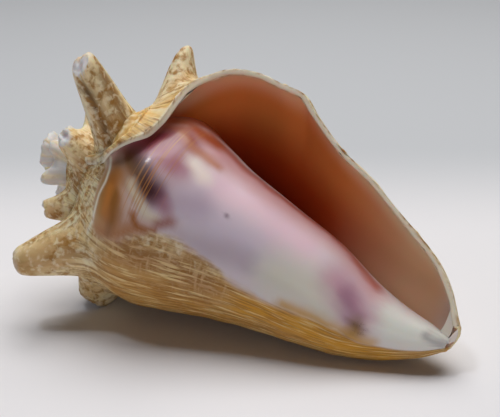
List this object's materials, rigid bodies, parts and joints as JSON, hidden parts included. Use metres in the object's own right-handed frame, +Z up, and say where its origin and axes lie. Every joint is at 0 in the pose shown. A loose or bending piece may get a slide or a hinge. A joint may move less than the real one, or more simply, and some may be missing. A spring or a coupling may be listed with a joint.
{
  "type": "conch shell",
  "caption": "Spiny conch shell lying on its side, with a wide glossy mouth, a coiled spire and a pointed canal end.",
  "frame": {"origin": "middle of the bounding box's bottom, on the surface that the shell lies on", "axes": "+X along the shell towards the canal end, +Y away from the mouth, +Z up"},
  "size_m": [0.1926, 0.108, 0.1202],
  "materials": {
    "shell": "hard shell, chalky outside and glossy like porcelain inside the mouth"
  },
  "bodies": {
    "root": {"conch": "shell"}
  },
  "joints": []
}
